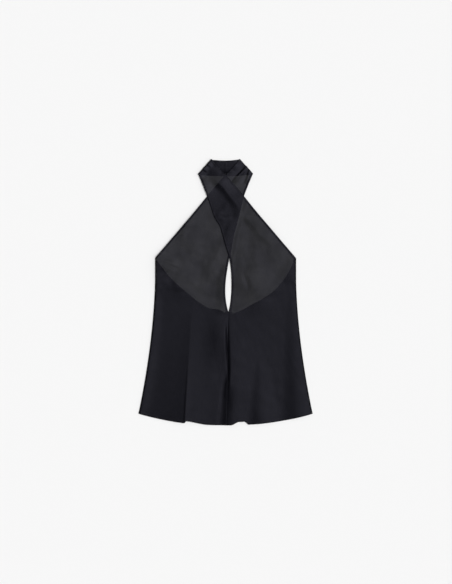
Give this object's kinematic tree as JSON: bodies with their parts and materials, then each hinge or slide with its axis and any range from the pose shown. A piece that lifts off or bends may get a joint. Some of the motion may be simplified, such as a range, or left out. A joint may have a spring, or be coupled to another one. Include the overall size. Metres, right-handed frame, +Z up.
{
  "type": "halter neck top",
  "caption": "Crossover halter neck top in black, slightly sheer satin, laid flat: the fronts cross above a keyhole and fold round the neck as straps, over a low scooped back.",
  "frame": {"origin": "on the surface that the top lies on, under the middle of its bounding box", "axes": "+X to the wearer's left, +Y from the hem to the neck, +Z up from the surface, out of the top's front"},
  "size_m": [0.4701, 0.7182, 0.0106],
  "materials": {
    "satin": "matt black satin weave, slightly sheer"
  },
  "bodies": {
    "root": {"front_left": "satin", "front_right": "satin", "back": "satin"}
  },
  "joints": []
}
